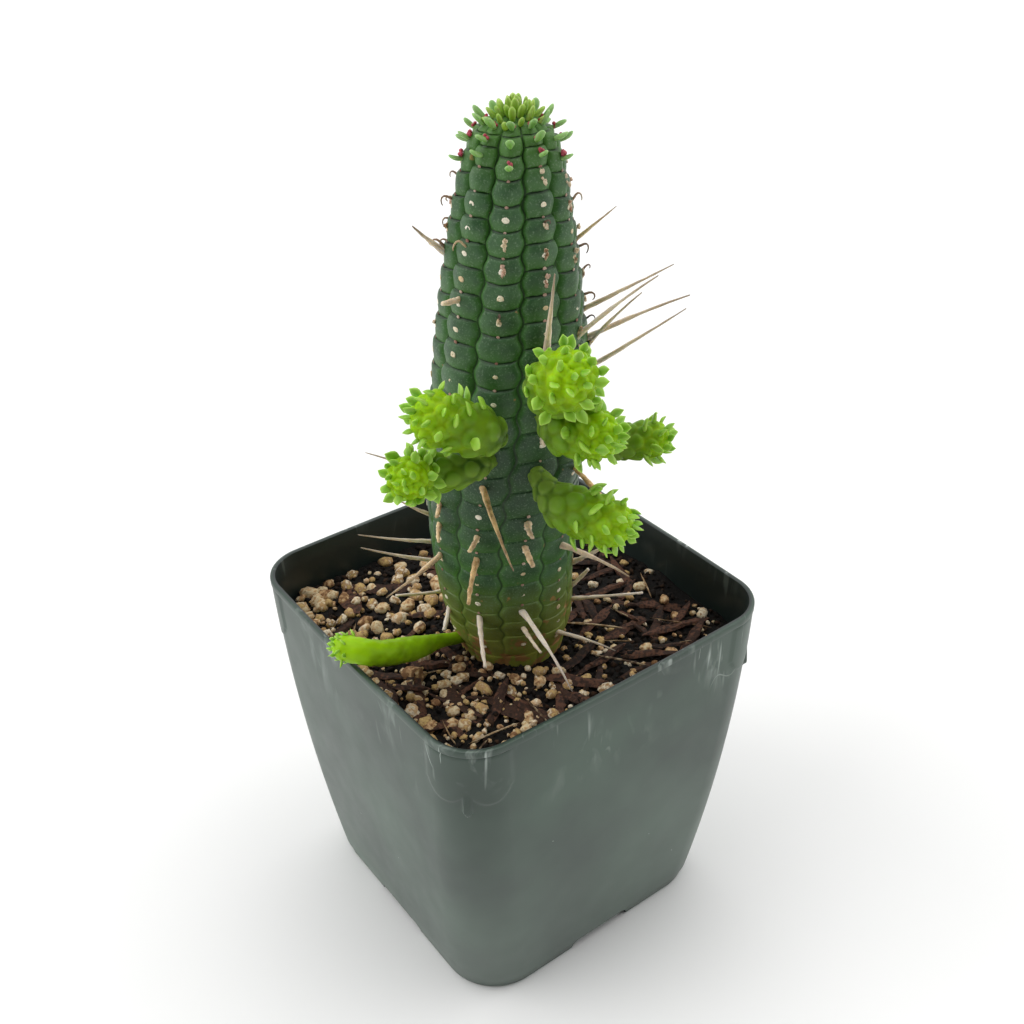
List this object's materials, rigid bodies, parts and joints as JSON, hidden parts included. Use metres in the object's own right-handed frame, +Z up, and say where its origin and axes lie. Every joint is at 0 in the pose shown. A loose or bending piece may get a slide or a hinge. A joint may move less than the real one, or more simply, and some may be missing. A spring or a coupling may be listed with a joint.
{
  "type": "potted euphorbia",
  "caption": "Columnar ribbed euphorbia with leafy side shoots and dried flower stalks, growing in gritty soil in a square tapered plastic nursery pot.",
  "frame": {"origin": "middle of the footprint of the whole plant and pot, on the surface that the pot stands on; the pot's own middle is 2 mm along +X from it, because one side shoot leans over the -X rim", "axes": "+Z up along the stem; +X and +Y square to the pot's sides; the pot's corner between -X and -Y is the front corner"},
  "size_m": [0.0942, 0.09, 0.2044],
  "materials": {
    "pot_plastic": "satin, scuffed near the rim",
    "potting_mix": "loose and matt",
    "stem_skin": "waxy, low sheen",
    "shoot_skin": "waxy, low sheen"
  },
  "bodies": {
    "root": {"pot": "pot_plastic", "soil": "potting_mix", "main_stem": "stem_skin", "shoot_upper_left": "shoot_skin", "shoot_lower_left": "shoot_skin", "shoot_upper_right": "shoot_skin", "shoot_mid_right": "shoot_skin", "shoot_far_right": "shoot_skin", "shoot_lower_right": "shoot_skin", "shoot_long_left": "shoot_skin"}
  },
  "joints": []
}
